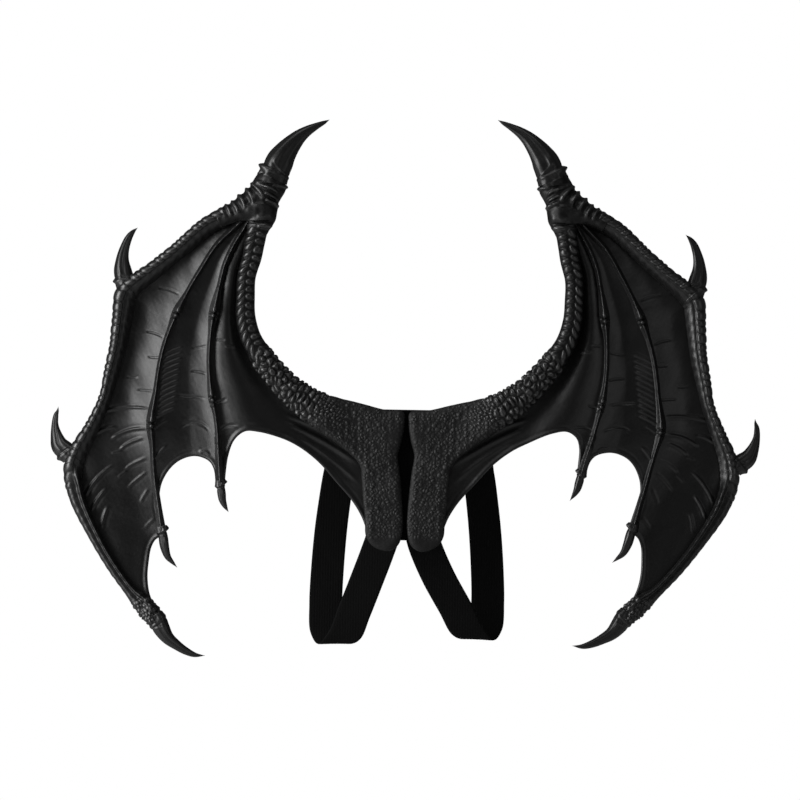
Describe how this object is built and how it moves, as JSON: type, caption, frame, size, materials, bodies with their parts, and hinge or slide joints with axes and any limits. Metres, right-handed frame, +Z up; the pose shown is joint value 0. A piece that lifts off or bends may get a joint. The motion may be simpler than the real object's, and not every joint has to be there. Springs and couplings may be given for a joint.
{
  "type": "costume bat wings",
  "caption": "Black foam bat wings for the back, with scaled arms, ribbed membranes and claws, joined by a soft panel with elastic shoulder loops.",
  "frame": {"origin": "on the rear face of the back panel, between the wearer's shoulder blades", "axes": "+Z up, +Y towards the wearer's back, +X towards the wearer's right"},
  "size_m": [0.856, 0.0889, 0.6509],
  "materials": {
    "foam_skin": "smooth satin black foam skin",
    "scaled_foam": "black foam with raised scales, glossy on their tops",
    "claw_foam": "black foam claws with a soft gloss",
    "pebbled_foam": "charcoal pebbled foam, nearly matte",
    "panel_fabric": "matte black knitted cloth",
    "elastic": "matte black woven elastic"
  },
  "bodies": {
    "root": {"back_panel": "panel_fabric", "strap_left": "elastic", "strap_right": "elastic", "root_lobe_left": "pebbled_foam", "root_lobe_right": "pebbled_foam", "membrane_left": "foam_skin", "membrane_right": "foam_skin", "arm_left": "scaled_foam", "arm_right": "scaled_foam", "wrist_left": "scaled_foam", "wrist_right": "scaled_foam", "finger_upper_left": "scaled_foam", "finger_upper_right": "scaled_foam", "finger_middle_left": "scaled_foam", "finger_middle_right": "scaled_foam", "finger_lower_left": "scaled_foam", "finger_lower_right": "scaled_foam", "rib_outer_left": "scaled_foam", "rib_outer_right": "scaled_foam", "rib_inner_left": "scaled_foam", "rib_inner_right": "scaled_foam", "thumb_claw_left": "claw_foam", "thumb_claw_right": "claw_foam", "spike_upper_left": "claw_foam", "spike_upper_right": "claw_foam", "spike_lower_left": "claw_foam", "spike_lower_right": "claw_foam", "tip_claw_left": "claw_foam", "tip_claw_right": "claw_foam", "rib_claw_outer_left": "claw_foam", "rib_claw_outer_right": "claw_foam", "rib_claw_inner_left": "claw_foam", "rib_claw_inner_right": "claw_foam"}
  },
  "joints": []
}
